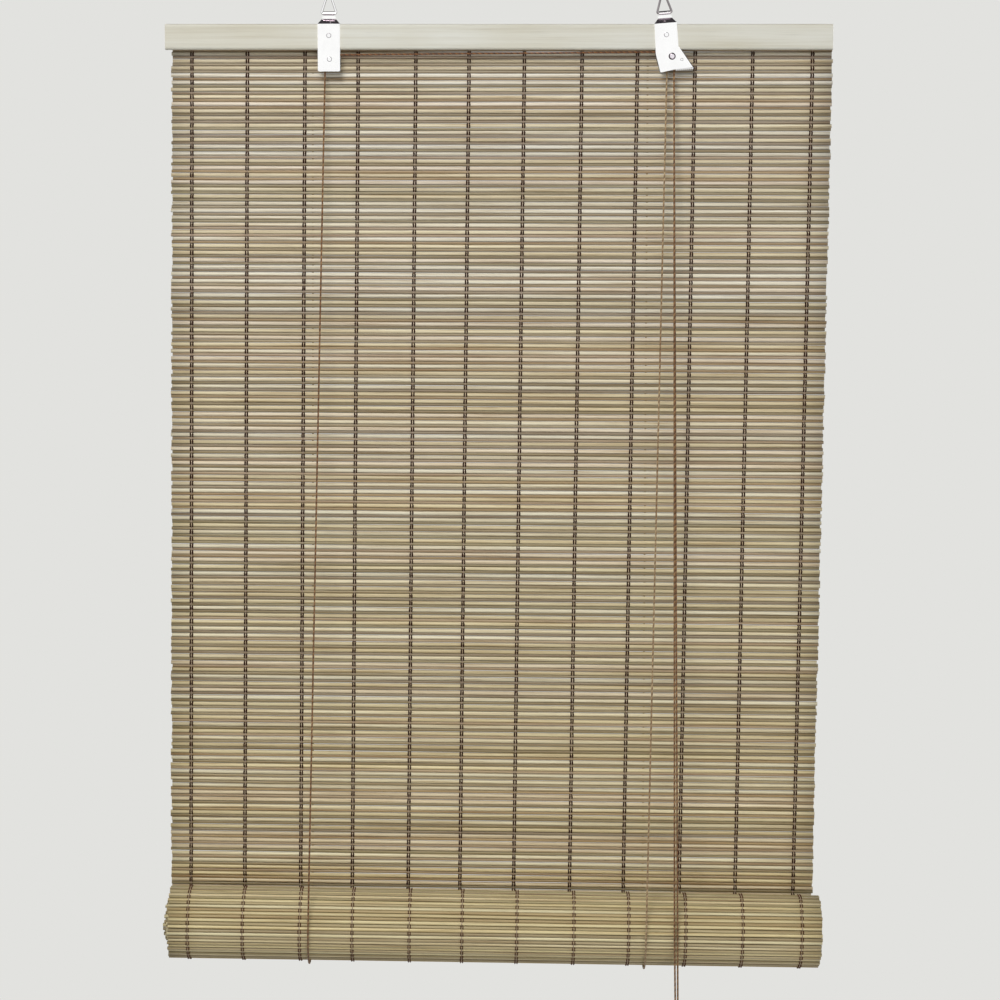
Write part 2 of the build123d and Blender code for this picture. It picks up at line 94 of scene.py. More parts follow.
# Sticks
stick_sides = 10
stick_segments = 20
stick_squareness = 2.15
stick_wander = 0.1
stick_end_wander = 1.3
stick_swell = 0.04
sway_waves = 9
bow_waves = 5
swell_waves = 7
stick_end_return = 0.3
stick_light = (0.94, 1.03)
grain_seeds = 40
green_loss = 0.03
blue_loss = 0.17
panel_foot_yellowing = 0.75
# Share of a stick's colour that its sides keep, where it meets its neighbours: painted shade.
painted_side_darkening = 0.62
panel_contrast = 1.0
# Power that raises the roll's colours towards white: painted light that makes the rolled-up mat paler than
# the hanging one.
roll_painted_light_contrast = 0.66

# Threads: two dark strands pass in front of each thick stick, a pale one behind it
first_warp = -276.7
warp_steps = (50, 52, 48, 52, 48, 50, 52, 50, 52, 52, 54)
roll_warp_shift = -7.2
strand_spread = 0.98
dark_strand_radius = 0.74
roll_strand_radius = 0.55
pale_strand_radius = 0.42
strand_sides = 5
strand_phases = (0.0, 0.14, 0.25, 0.36, 0.5, 0.64, 0.75, 0.86)
strand_fullness = 0.5
dark_strand_depths = (-0.55, 4.05)
pale_strand_depths = (3.3, 0.3)
strand_wander = 0.12
roll_thread_pairs = 36
strand_settling = 50

# Brackets, pulleys and cord
left_seat = (-152.8, rail_top, 0.0)
lock_seat = (149.5, rail_top + 0.7, 4.5)
pulley_drop = 31.5
pulley_offset = 0.5
lock_pulley_drop = 29.9
lock_pulley_offset = 3.7
cord_radius = 0.85
turn_radius = 4.0
cord_side = 1.3
sling_radius = 36.85
anchor_z = -31.0
left_anchor_x = -168.0
right_anchor_x = 134.5
left_roll_cord_x = -173.7
right_roll_cord_x = 133.7
pull_exit_x = 157.6
pull_exit_z = -65.6
pull_roll_x = (159.5, 162.3)
pull_end_x = (160.9, 163.1)
tassel_top = -926.0
tassel_hole_depth = 12.0
end_knot_gap = 0.1

# Heights between which the jaw turns from a painted highlight on its teeth to painted shade
teeth_foot = -63.4
teeth_top = -61.6

# Cord's own look: laid from three strands
lay_pitch = 5.2
lay_step = 0.8
most_steps = 1024
cord_sides = 12
lay_groove = 0.16
cord_strands = 3
anchor_knot_size = 1.5
anchor_knot_radius = 0.6
knot_points = 48
knot_depth = 1.2
near_upright = 0.9
route_turn = 30


def srgb(red, green, blue):
    """A colour given as 0 to 255 on the screen, in Blender's linear numbers."""
    def linear(value):
        share = value / 255
        return share / 12.92 if share <= 0.04045 else ((share + 0.055) / 1.055) ** 2.4
    return (linear(red), linear(green), linear(blue), 1.0)


# Materials


def new_material(name, roughness=0.5, metallic=0.0):
    material = bpy.data.materials.new(name)
    material.use_nodes = True
    shader = material.node_tree.nodes["Principled BSDF"]
    shader.inputs["Roughness"].default_value = roughness
    shader.inputs["Metallic"].default_value = metallic
    return material, material.node_tree.nodes, material.node_tree.links, shader


def add_ramp(nodes, stops):
    ramp = nodes.new("ShaderNodeValToRGB")
    while len(ramp.color_ramp.elements) < len(stops):
        ramp.color_ramp.elements.new(0.5)
    for element, (place, colour) in zip(ramp.color_ramp.elements, stops):
        element.position = place
        element.color = colour
    return ramp


def grey(value):
    return (value, value, value, 1.0)


def stretched_noise(nodes, links, coordinates, stretch, scale, detail=4.0, rough=0.55):
    mapping = nodes.new("ShaderNodeMapping")
    mapping.inputs["Scale"].default_value = stretch
    links.new(coordinates, mapping.inputs["Vector"])
    noise = nodes.new("ShaderNodeTexNoise")
    noise.inputs["Scale"].default_value = scale
    noise.inputs["Detail"].default_value = detail
    noise.inputs["Roughness"].default_value = rough
    links.new(mapping.outputs["Vector"], noise.inputs["Vector"])
    return noise.outputs["Fac"]


def add_bump(nodes, links, shader, height, strength, distance):
    bump = nodes.new("ShaderNodeBump")
    bump.inputs["Strength"].default_value = strength
    bump.inputs["Distance"].default_value = distance
    links.new(height, bump.inputs["Height"])
    links.new(bump.outputs["Normal"], shader.inputs["Normal"])


def multiply(nodes, links, first, second, share=1.0):
    mix = nodes.new("ShaderNodeMix")
    mix.data_type = "RGBA"
    mix.blend_type = "MULTIPLY"
    mix.inputs["Factor"].default_value = share
    links.new(first, mix.inputs[6])
    links.new(second, mix.inputs[7])
    return mix.outputs[2]


def stick_material():
    """Split wood: each stick's own tint, darker on its sides with painted shade, long streaks along it and
    fine grain.
    """
    material, nodes, links, shader = new_material("woven_stick_wood", roughness=0.45)
    tint = nodes.new("ShaderNodeAttribute")
    tint.attribute_name = "tint"
    grain = nodes.new("ShaderNodeAttribute")
    grain.attribute_name = "grain"
    along = grain.outputs["Vector"]
    streaks = stretched_noise(nodes, links, along, (9.0, 700.0, 700.0), 1.0, 3.0)
    fibres = stretched_noise(nodes, links, along, (60.0, 3500.0, 3500.0), 1.0, 2.0)
    streak_stops = [(0.3, srgb(200, 184, 162)), (0.45, srgb(238, 232, 220)), (0.62, srgb(255, 254, 250))]
    streak_ramp = add_ramp(nodes, streak_stops)
    links.new(streaks, streak_ramp.inputs["Fac"])
    fibre_ramp = add_ramp(nodes, [(0.28, grey(0.72)), (0.5, grey(0.97)), (0.75, grey(1.0))])
    links.new(fibres, fibre_ramp.inputs["Fac"])
    tinted = multiply(nodes, links, tint.outputs["Color"], streak_ramp.outputs["Color"])
    final = multiply(nodes, links, tinted, fibre_ramp.outputs["Color"], 0.8)
    links.new(final, shader.inputs["Base Color"])
    add_bump(nodes, links, shader, fibres, 0.35, 0.0002)
    return material


def rail_material():
    """Pale planed wood with faint long grain."""
    material, nodes, links, shader = new_material("planed_rail_wood", roughness=0.5)
    place = nodes.new("ShaderNodeTexCoord").outputs["Object"]
    grain = stretched_noise(nodes, links, place, (6.0, 260.0, 260.0), 1.0, 5.0)
    pores = stretched_noise(nodes, links, place, (40.0, 2200.0, 2200.0), 1.0, 2.0)
    clouds = stretched_noise(nodes, links, place, (7.0, 20.0, 20.0), 1.0, 2.0)
    wood_stops = [(0.3, srgb(219, 216, 201)), (0.5, srgb(230, 229, 218)), (0.7, srgb(236, 236, 227))]
    ramp = add_ramp(nodes, wood_stops)
    links.new(grain, ramp.inputs["Fac"])
    cloud_ramp = add_ramp(nodes, [(0.35, srgb(246, 243, 236)), (0.65, srgb(255, 255, 255))])
    links.new(clouds, cloud_ramp.inputs["Fac"])
    pore_ramp = add_ramp(nodes, [(0.25, grey(0.82)), (0.42, grey(1.0))])
    links.new(pores, pore_ramp.inputs["Fac"])
    clouded = multiply(nodes, links, ramp.outputs["Color"], cloud_ramp.outputs["Color"])
    final = multiply(nodes, links, clouded, pore_ramp.outputs["Color"], 0.7)
    links.new(final, shader.inputs["Base Color"])
    add_bump(nodes, links, shader, pores, 0.15, 0.0002)
    return material


def turned_wood_material(name, pale, dark, along):
    """Plain wood whose grain runs along one axis, for the rod and the tassel."""
    material, nodes, links, shader = new_material(name, roughness=0.45)
    place = nodes.new("ShaderNodeTexCoord").outputs["Object"]
    stretch = tuple(14.0 if axis == along else 420.0 for axis in range(3))
    grain = stretched_noise(nodes, links, place, stretch, 1.0, 4.0)
    ramp = add_ramp(nodes, [(0.32, dark), (0.5, pale), (0.72, pale)])
    links.new(grain, ramp.inputs["Fac"])
    links.new(ramp.outputs["Color"], shader.inputs["Base Color"])
    add_bump(nodes, links, shader, grain, 0.2, 0.0002)
    return material


def cord_material():
    """Laid cord: each strand's own tint with paler and darker fibres."""
    material, nodes, links, shader = new_material("laid_cord", roughness=0.75)
    tint = nodes.new("ShaderNodeAttribute")
    tint.attribute_name = "tint"
    grain = nodes.new("ShaderNodeAttribute")
    grain.attribute_name = "grain"
    fibres = stretched_noise(nodes, links, grain.outputs["Vector"], (900.0, 900.0, 900.0), 1.0, 3.0)
    patches = stretched_noise(nodes, links, grain.outputs["Vector"], (22.0, 22.0, 22.0), 1.0, 2.0)
    ramp = add_ramp(nodes, [(0.3, grey(0.5)), (0.5, grey(0.9)), (0.7, grey(1.0))])
    links.new(fibres, ramp.inputs["Fac"])
    patch_ramp = add_ramp(nodes, [(0.35, srgb(214, 198, 178)), (0.65, srgb(255, 250, 240))])
    links.new(patches, patch_ramp.inputs["Fac"])
    tinted = multiply(nodes, links, tint.outputs["Color"], ramp.outputs["Color"])
    final = multiply(nodes, links, tinted, patch_ramp.outputs["Color"])
    links.new(final, shader.inputs["Base Color"])
    shader.inputs["Sheen Weight"].default_value = 0.2
    add_bump(nodes, links, shader, fibres, 0.4, 0.0002)
    return material


def knot_material():
    """The same cord where it is knotted into one lump."""
    material, nodes, links, shader = new_material("knotted_cord", roughness=0.8)
    place = nodes.new("ShaderNodeTexCoord").outputs["Object"]
    fibres = stretched_noise(nodes, links, place, (700.0, 700.0, 300.0), 1.0, 3.0)
    ramp = add_ramp(nodes, [(0.3, srgb(92, 62, 38)), (0.5, srgb(150, 114, 78)), (0.7, srgb(186, 152, 112))])
    links.new(fibres, ramp.inputs["Fac"])
    links.new(ramp.outputs["Color"], shader.inputs["Base Color"])
    add_bump(nodes, links, shader, fibres, 0.6, 0.0004)
    return material


def thread_material(name, dark, pale):
    material, nodes, links, shader = new_material(name, roughness=0.9)
    shader.inputs["Specular IOR Level"].default_value = 0.15
    place = nodes.new("ShaderNodeTexCoord").outputs["Object"]
    fibres = stretched_noise(nodes, links, place, (1500.0, 1500.0, 1500.0), 1.0, 3.0)
    ramp = add_ramp(nodes, [(0.32, dark), (0.68, pale)])
    links.new(fibres, ramp.inputs["Fac"])
    links.new(ramp.outputs["Color"], shader.inputs["Base Color"])
    add_bump(nodes, links, shader, fibres, 0.4, 0.0002)
    return material


def facing(nodes, links, axis):
    """How squarely the surface faces along one of the piece's own axes, from 0 to 1."""
    normal = nodes.new("ShaderNodeTexCoord").outputs["Normal"]
    parts = nodes.new("ShaderNodeSeparateXYZ")
    links.new(normal, parts.inputs["Vector"])
    size = nodes.new("ShaderNodeMath")
    size.operation = "ABSOLUTE"
    links.new(parts.outputs[axis], size.inputs[0])
    return size.outputs["Value"]


def metal_material(name, colour, roughness, stain, shade=None):
    """Plated steel with faint brushing and soft stains, and, when given, painted shade that darkens it by the
    way it faces.
    """
    material, nodes, links, shader = new_material(name, roughness=roughness, metallic=1.0)
    place = nodes.new("ShaderNodeTexCoord").outputs["Object"]
    brushing = stretched_noise(nodes, links, place, (300.0, 300.0, 1800.0), 1.0, 2.0)
    stains = stretched_noise(nodes, links, place, (90.0, 90.0, 90.0), 1.0, 3.0)
    stained = tuple((1 - stain) * part for part in colour[:3]) + (1.0,)
    ramp = add_ramp(nodes, [(0.3, stained), (0.55, colour)])
    links.new(stains, ramp.inputs["Fac"])
    final = ramp.outputs["Color"]
    if shade:
        axis, stops = shade
        shade_ramp = add_ramp(nodes, stops)
        links.new(facing(nodes, links, axis), shade_ramp.inputs["Fac"])
        final = multiply(nodes, links, final, shade_ramp.outputs["Color"])
    links.new(final, shader.inputs["Base Color"])
    rough_ramp = add_ramp(nodes, [(0.3, grey(roughness)), (0.75, grey(roughness + 0.06))])
    links.new(brushing, rough_ramp.inputs["Fac"])
    links.new(rough_ramp.outputs["Color"], shader.inputs["Roughness"])
    return material


def jaw_material():
    """Jaw darkened with painted shade, its teeth brightened with a painted highlight."""
    material, nodes, links, shader = new_material("toothed_jaw_steel", roughness=0.32, metallic=1.0)
    place = nodes.new("ShaderNodeTexCoord").outputs["Object"]
    parts = nodes.new("ShaderNodeSeparateXYZ")
    links.new(place, parts.inputs["Vector"])
    height = nodes.new("ShaderNodeMapRange")
    height.inputs["From Min"].default_value = teeth_foot * mm
    height.inputs["From Max"].default_value = teeth_top * mm
    links.new(parts.outputs["Z"], height.inputs["Value"])
    casting = stretched_noise(nodes, links, place, (800.0, 800.0, 800.0), 1.0, 3.0)
    mix = nodes.new("ShaderNodeMath")
    mix.operation = "ADD"
    links.new(height.outputs["Result"], mix.inputs[0])
    links.new(casting, mix.inputs[1])
    # Teeth low on the jaw get a painted highlight, the rest of the jaw painted shade.
    ramp = add_ramp(nodes, [(0.68, srgb(246, 246, 246)), (1.0, srgb(96, 88, 90))])
    links.new(mix.outputs["Value"], ramp.inputs["Fac"])
    links.new(ramp.outputs["Color"], shader.inputs["Base Color"])
    add_bump(nodes, links, shader, casting, 0.2, 0.0001)
    return material


def nylon_material():
    material, nodes, links, shader = new_material("pulley_nylon", roughness=0.42)
    place = nodes.new("ShaderNodeTexCoord").outputs["Object"]
    mottling = stretched_noise(nodes, links, place, (400.0, 400.0, 400.0), 1.0, 3.0)
    ramp = add_ramp(nodes, [(0.3, srgb(214, 212, 202)), (0.6, srgb(232, 231, 224))])
    links.new(mottling, ramp.inputs["Fac"])
    links.new(ramp.outputs["Color"], shader.inputs["Base Color"])
    add_bump(nodes, links, shader, mottling, 0.1, 0.0001)
    return material


stick_wood = stick_material()
rail_wood = rail_material()
rod_wood = turned_wood_material("rod_wood", srgb(205, 180, 138), srgb(168, 138, 98), 0)
tassel_wood = turned_wood_material("tassel_wood", srgb(206, 172, 122), srgb(160, 118, 72), 2)
laid_cord = cord_material()
dark_thread = thread_material("dark_warp_thread", srgb(40, 21, 16), srgb(80, 47, 37))
worn_thread = thread_material("worn_warp_thread", srgb(66, 40, 30), srgb(116, 80, 60))
pale_thread = thread_material("pale_warp_thread", srgb(150, 124, 108), srgb(214, 192, 176))
knotted_cord = knot_material()
# Painted shade on faces that turn up or down, such as the brackets' shoulders and the top of the loop.
upward_painted_shade = ("Z", [(0.12, grey(1.0)), (0.3, srgb(214, 204, 211)), (0.8, srgb(170, 160, 168))])
# Painted shade round the rims of rivet heads, pins and the axle.
rim_painted_shade = ("Y", [(0.8, srgb(58, 50, 54)), (0.97, srgb(150, 142, 148)), (0.995, grey(1.0))])
# Painted shade along the sides of the left ring's wire, as a dark outline.
wire_painted_shade = ("Y", [(0.25, srgb(70, 64, 68)), (0.6, srgb(170, 166, 170)), (0.85, grey(1.0))])
bright_metal = metal_material("bright_plated_steel", srgb(253, 253, 252), 0.1, 0.03, upward_painted_shade)
small_rivet_metal = metal_material("small_rivet_steel", srgb(250, 250, 250), 0.12, 0.05, rim_painted_shade)
ring_metal = metal_material("ring_wire", srgb(250, 250, 250), 0.08, 0.06, wire_painted_shade)
# The right ring is the same wire as the left one, painted darker: painted shade.
right_ring_painted_shade = metal_material("right_ring_wire_painted_shade", srgb(150, 144, 146), 0.16, 0.3)
rivet_metal = metal_material("worn_rivet_steel", srgb(232, 226, 232), 0.2, 0.1, rim_painted_shade)
jaw_metal = jaw_material()
staple_metal = metal_material("staple_wire", srgb(196, 196, 198), 0.28, 0.2)
white_nylon = nylon_material()


# Meshes


def build_mesh(name, points, faces, material, values=None):
    """An object from points in millimetres. values holds one list for each point attribute."""
    mesh = bpy.data.meshes.new(name)
    mesh.from_pydata([tuple(part * mm for part in point) for point in points], [], faces)
    for attribute_name, (kind, data) in (values or {}).items():
        attribute = mesh.attributes.new(attribute_name, kind, "POINT")
        flat = [part for entry in data for part in entry]
        attribute.data.foreach_set("color" if kind == "FLOAT_COLOR" else "vector", flat)
    mesh.polygons.foreach_set("use_smooth", [True] * len(mesh.polygons))
    mesh.materials.append(material)
    mesh.update()
    piece = bpy.data.objects.new(name, mesh)
    bpy.context.scene.collection.objects.link(piece)
    return piece


def join_rings(rings, sides, first):
    """Faces of a tube of so many rings, whose points start at a number, with both ends closed."""
    faces = []
    for ring in range(rings - 1):
        start = first + ring * sides
        for side in range(sides):
            after = (side + 1) % sides
            faces.append((start + side, start + after, start + sides + after, start + sides + side))
    faces.append(tuple(first + side for side in reversed(range(sides))))
    faces.append(tuple(first + (rings - 1) * sides + side for side in range(sides)))
    return faces


def mat_x(z):
    """Middle of the leaning mat at a height."""
    return mat_top_x - mat_lean * (rail_bottom - z)


def panel_tilt(z):
    """The sticks hang level at the top and follow the roll's tilt at the foot."""
    return roll_tilt * min(1.0, max(0.0, (rail_bottom - z) / (rail_bottom - roll_z)))


def on_panel(x, along, depth):
    """A point of the hanging mat, x being measured from the mat's middle."""
    z = mat_top - along
    return (mat_x(z) + x, mat_front + depth, z - x * tan(panel_tilt(z)))


def turn_at(along):
    """Angle wound so far at a distance along the mat's middle."""
    middle = roll_radius - mat_thickness / 2
    return (middle - sqrt(middle**2 - turn_pitch * along / pi)) * 2 * pi / turn_pitch


def in_roll(x, across, up):
    """A point of the roll: x along its axis from its middle, then towards the wall and up."""
    return (
        roll_x + x * cos(roll_tilt) + up * sin(roll_tilt),
        roll_y + across,
        roll_z - x * sin(roll_tilt) + up * cos(roll_tilt),
    )


def on_roll(x, along, depth):
    turned = turn_at(along)
    radius = roll_radius - turn_pitch * turned / (2 * pi) - (mat_thickness - depth)
    return in_roll(x, radius * cos(turned), -radius * sin(turned))


def stick_profile(half_width, half_depth):
    """Rounded oblong, as points across the mat and through it."""
    points = []
    for side in range(stick_sides):
        angle = 2 * pi * (side + 0.5) / stick_sides
        c, s = cos(angle), sin(angle)
        reach = (abs(c) ** stick_squareness + abs(s) ** stick_squareness) ** (-1 / stick_squareness)
        points.append((half_width * reach * c, half_depth * reach * s))
    return points


thick_tints = [(252, 245, 229), (254, 250, 240), (247, 237, 212), (252, 241, 228), (241, 229, 202)]
thin_tints = [
    (184, 170, 147), (174, 163, 138), (192, 173, 154), (170, 156, 139), (186, 164, 134), (162, 148, 121)
]
stick_kinds = (
    (thick_middle, thick_stick, thick_depth, thick_tints),
    (thin_middle, thin_stick, thin_depth, thin_tints),
)


def aged(tint, light, age, contrast):
    """A stick's colour. The higher the age, from 0 to 1, the yellower the wood; less contrast is paler."""
    top = 255
    red, green, blue = (top * (part / top) ** contrast for part in tint)
    green *= 1 - green_loss * age
    blue *= 1 - blue_loss * age
    return srgb(red * light, green * light, blue * light)


def add_stick(mesh, chance, middle, size, depth, tints, place, shift, age, contrast):
    """One stick of the mat: its middle along the mat, its size across, and its depth from front to back."""
    points, faces, tint_values, grain_values = mesh
    colour = aged(chance.choice(tints), chance.uniform(*stick_light), age, contrast)
    seed = chance.uniform(0, grain_seeds)
    half = mat_width / 2
    left = -half + chance.uniform(-stick_end_return, 1) * stick_end_wander + shift
    right = half + chance.uniform(-1, stick_end_return) * stick_end_wander + shift
    phases = [chance.uniform(0, 2 * pi) for _ in range(4)]
    profile = stick_profile(size / 2, (depth[1] - depth[0]) / 2)
    # A darker copy of the stick's colour for its sides: painted shade where the sticks meet.
    painted_side_colour = tuple(painted_side_darkening * part for part in colour[:3]) + (1.0,)
    centre = (depth[0] + depth[1]) / 2
    first = len(points)
    for ring in range(stick_segments + 1):
        share = ring / stick_segments
        x = left + (right - left) * share
        sway = stick_wander * (sin(2 * pi * share + phases[0]) + 0.5 * sin(sway_waves * share + phases[1]))
        bow = stick_wander * 0.5 * sin(bow_waves * share + phases[2])
        swell = 1 + stick_swell * sin(swell_waves * share + phases[3])
        for across, through in profile:
            point = place(x, middle + sway + across * swell, centre + bow + through * swell)
            points.append(point)
            tint_values.append(painted_side_colour if abs(through) < abs(across) else colour)
            grain_values.append((x * mm + seed, across * mm + seed, through * mm))
    faces.extend(join_rings(stick_segments + 1, stick_sides, first))


def make_sticks(name, pairs, place, seed, shift_at, age_at, contrast):
    chance = random.Random(seed)
    mesh = ([], [], [], [])
    for pair in range(pairs):
        start = pair * pair_pitch
        shift = shift_at(start)
        age = age_at(start)
        for offset, size, depth, tints in stick_kinds:
            add_stick(mesh, chance, start + offset, size, depth, tints, place, shift, age, contrast)
    points, faces, tints, grains = mesh
    values = {"tint": ("FLOAT_COLOR", tints), "grain": ("FLOAT_VECTOR", grains)}
    return build_mesh(name, points, faces, stick_wood, values)


def no_shift(along):
    return 0.0


def roll_shift(along):
    """Inner turns stand further out to the left."""
    turns = turn_at(along) / (2 * pi)
    share = min(1.0, max(0.0, (turns - telescope_start) / telescope_turns))
    return -telescope * share


def panel_yellowing(along):
    """The wood turns yellower from the top down to the roll."""
    return panel_foot_yellowing * along / (mat_top - roll_z)


def roll_yellowing(along):
    return 1.0


# Tubes along a line of points


def tube_rings(line, radius_at, sides):
    """Rings of points round a line, carried along without twist."""
    points = []
    normal = None
    for number, place in enumerate(line):
        before = line[max(0, number - 1)]
        after = line[min(len(line) - 1, number + 1)]
        way = (after - before).normalized()
        if normal is None:
            helper = Vector((0, 0, 1)) if abs(way.z) < near_upright else Vector((0, 1, 0))
            normal = way.cross(helper).normalized()
        normal = (normal - way * normal.dot(way)).normalized()
        other = way.cross(normal)
        for side in range(sides):
            angle = 2 * pi * side / sides
            radius = radius_at(number, angle)
            points.append(place + radius * (cos(angle) * normal + sin(angle) * other))
    return points


def strand_line(chance, offset, depths, pairs, strand_place):
    """A strand's middle, in front of one stick of each pair and behind the other."""
    over, under = depths
    middle = (over + under) / 2
    swing = (under - over) / 2
    line = []
    for pair in range(pairs):
        aside = chance.uniform(-strand_wander, strand_wander)
        for phase in strand_phases:
            wave = cos(2 * pi * phase)
            full = abs(wave) ** strand_fullness * (1 if wave > 0 else -1)
            along = thick_middle + (pair + phase) * pair_pitch
            line.append(Vector(strand_place(offset + aside, along, middle - swing * full)))
    return line


def make_thread_column(name, pairs, seed, strand_place, dark_radius, dark_material):
    """Two dark strands and a pale one, woven through so many pairs."""
    chance = random.Random(seed)
    dark = (dark_radius, dark_strand_depths, 0)
    pale = (pale_strand_radius, pale_strand_depths, 1)
    points, faces, materials = [], [], []
    for offset, (radius, depths, material) in ((-strand_spread, dark), (strand_spread, dark), (0, pale)):
        line = strand_line(chance, offset, depths, pairs, strand_place)
        first = len(points)
        points.extend(tube_rings(line, lambda number, angle: radius, strand_sides))
        new_faces = join_rings(len(line), strand_sides, first)
        faces.extend(new_faces)
        materials.extend([material] * len(new_faces))
    column = build_mesh(name, points, faces, dark_material)
    column.data.materials.append(pale_thread)
    column.data.polygons.foreach_set("material_index", materials)
    return column


# Cords


brown_tints = (srgb(154, 116, 78), srgb(182, 146, 104), srgb(114, 82, 54))
dark_tints = (srgb(134, 88, 58), srgb(172, 124, 76), srgb(98, 60, 42))
beige_tints = (srgb(192, 168, 134), srgb(212, 190, 156), srgb(156, 130, 98))


def cord_line(route):
    """Points along the smooth line that has the route's points as its control points."""
    curve = bpy.data.curves.new("cord_route", "CURVE")
    curve.dimensions = "3D"
    spline = curve.splines.new("NURBS")
    spline.points.add(len(route) - 1)
    for point, place in zip(spline.points, route):
        point.co = (place[0], place[1], place[2], 1.0)
    spline.order_u = 3
    spline.use_endpoint_u = True
    length = sum((end - start).length for start, end in zip(route, route[1:]))
    spans = max(1, len(route) - 2)
    spline.resolution_u = max(2, min(most_steps, round(length / lay_step / spans)))
    holder = bpy.data.objects.new("cord_route", curve)
    mesh = bpy.data.meshes.new_from_object(holder)
    line = [vertex.co.copy() for vertex in mesh.vertices]
    bpy.data.objects.remove(holder)
    bpy.data.curves.remove(curve)
    bpy.data.meshes.remove(mesh)
    return line


def make_laid_cord(name, line, tints, phase=0.0, knot=None):
    """Three strands laid together: a tube whose grooves and tints wind round it."""
    travelled = [0.0]
    for start, end in zip(line, line[1:]):
        travelled.append(travelled[-1] + (end - start).length)

    def lay_angle(number, angle):
        return angle - 2 * pi * travelled[number] / lay_pitch - phase

    def radius_at(number, angle):
        crown = abs(cos(cord_strands / 2 * lay_angle(number, angle)))
        return cord_radius * (1 - lay_groove + lay_groove * crown)

    rings = tube_rings(line, radius_at, cord_sides)
    colours = []
    for number in range(len(line)):
        for side in range(cord_sides):
            turned = lay_angle(number, 2 * pi * (side + 0.5) / cord_sides)
            colours.append(tints[int(cord_strands * turned / (2 * pi)) % cord_strands])
    faces = join_rings(len(line), cord_sides, 0)
    if knot:
        centre, size, radius = knot
        knot_line = overhand(centre, size)
        first = len(rings)
        rings.extend(tube_rings(knot_line, lambda number, angle: radius, cord_sides))
        faces.extend(join_rings(len(knot_line), cord_sides, first))
        colours.extend([tints[0]] * (len(knot_line) * cord_sides))
    grains = [tuple(point * mm) for point in rings]
    values = {"grain": ("FLOAT_VECTOR", grains), "tint": ("FLOAT_COLOR", colours)}
    return build_mesh(name, rings, faces, laid_cord, values)


def overhand(centre, size):
    """A tied knot's line, closed on itself, about as wide as size."""
    line = []
    for step in range(knot_points + 1):
        t = 2 * pi * step / knot_points
        x = sin(t) + 2 * sin(2 * t)
        z = cos(t) - 2 * cos(2 * t)
        y = -sin(3 * t)
        line.append(Vector(centre) + Vector((x, y * knot_depth, z)) * (size / 3))
    return line


def face_point(seat, across, drop):
    """The place of a point given on a bracket's front view."""
    x, z, tilt = seat
    turn = radians(tilt)
    return Vector((x + across * cos(turn) + drop * sin(turn), 0, z + across * sin(turn) - drop * cos(turn)))


left_pulley = face_point(left_seat, pulley_offset, pulley_drop)
lock_pulley = face_point(lock_seat, lock_pulley_offset, lock_pulley_drop)


def round_route(place, radius, first, last):
    """Route round a pulley or the roll: its ends on the circle, its corners where the tangents meet."""
    steps = max(2, round(abs(last - first) / route_turn))
    step = (last - first) / steps
    corner_radius = radius / cos(radians(step / 2))
    corners = [place(corner_radius, first + step * (number + 0.5)) for number in range(steps)]
    return [place(radius, first)] + corners + [place(radius, last)]


def pulley_place(centre, depth):
    def place(radius, angle):
        turn = radians(angle)
        return Vector((centre.x + radius * cos(turn), depth, centre.z + radius * sin(turn)))
    return place


def sling_place(x):
    axis_x = (x - roll_x) / cos(roll_tilt)

    def place(radius, angle):
        turn = radians(angle)
        return Vector(in_roll(axis_x, radius * cos(turn), radius * sin(turn)))
    return place


def sling_front(top):
    across = top.y - roll_y
    up = top.z - roll_z
    return degrees(atan2(up, across) + acos(sling_radius / hypot(across, up)))


def dress_cord(piece, body, *nodes):
    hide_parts(*nodes)
    if body:
        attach(piece, body)


def shrink_with_lift(piece):
    """Hangs a piece from the headrail and gives it a mesh of its own."""
    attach(piece, "headrail")
    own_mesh(piece)


def make_lift_cord(side, pulley, depth, roll_cord_x, anchor_x, tints):
    top = Vector((pulley.x - turn_radius, depth, pulley.z))
    front = sling_front(top)
    on_roll_at = sling_place(roll_cord_x)
    foot = on_roll_at(sling_radius, front)
    front_run = make_laid_cord(f"{side}_front_cord", cord_line([top, foot]), tints)
    dress_cord(front_run, None, f"{side}_front_run")
    shrink_with_lift(front_run)
    sling_line = cord_line(round_route(on_roll_at, sling_radius, front, 360))
    sling = make_laid_cord(f"{side}_sling_cord", sling_line, tints)
    dress_cord(sling, "slings", f"{side}_sling")
    rear = on_roll_at(sling_radius, 0)
    anchor = Vector((anchor_x, rear.y, anchor_z))
    knot = (anchor, anchor_knot_size, anchor_knot_radius)
    back_run = make_laid_cord(f"{side}_back_cord", cord_line([anchor, rear]), tints, knot=knot)
    dress_cord(back_run, None, f"{side}_back_run")
    shrink_with_lift(back_run)


def leaving_angle(centre):
    across = centre.x - pull_exit_x
    up = centre.z - pull_exit_z
    return degrees(atan2(up, across) - asin(turn_radius / hypot(across, up))) - 90


